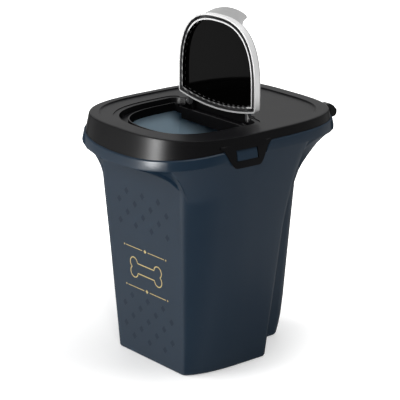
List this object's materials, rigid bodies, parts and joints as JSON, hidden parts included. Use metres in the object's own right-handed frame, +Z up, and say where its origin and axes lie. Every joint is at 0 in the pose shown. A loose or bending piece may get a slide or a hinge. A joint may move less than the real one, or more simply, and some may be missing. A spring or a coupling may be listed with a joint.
{
  "type": "pet food container",
  "caption": "Tapered pet food container with a hinged press-on lid, a flip-up pouring flap and a grip spine at the rear.",
  "frame": {"origin": "on the floor, at the middle of the overall width and length", "axes": "+Z up, +Y towards the grip spine and the lid's rear hinge, the flat front panel faces -Y, +X to the right as seen from the front"},
  "size_m": [0.231, 0.2668, 0.3901],
  "materials": {
    "tub": "satin",
    "lid": "satin",
    "flap_shell": "satin silver",
    "flap_liner": "gloss"
  },
  "bodies": {
    "tub": {"tub": "tub"},
    "lid": {"lid": "lid"},
    "flap": {"flap_shell": "flap_shell", "flap_liner": "flap_liner"}
  },
  "joints": [
    {"name": "lid_hinge", "type": "hinge", "parent": "tub", "child": "lid", "pos_m": [0, 0.1284, 0.268], "axis": [-1, 0, 0], "range_deg": [0, 100]},
    {"name": "flap_hinge", "type": "hinge", "parent": "lid", "child": "flap", "pos_m": [0, 0.014, 0.276], "axis": [1, 0, 0], "range_deg": [0, 90]}
  ]
}
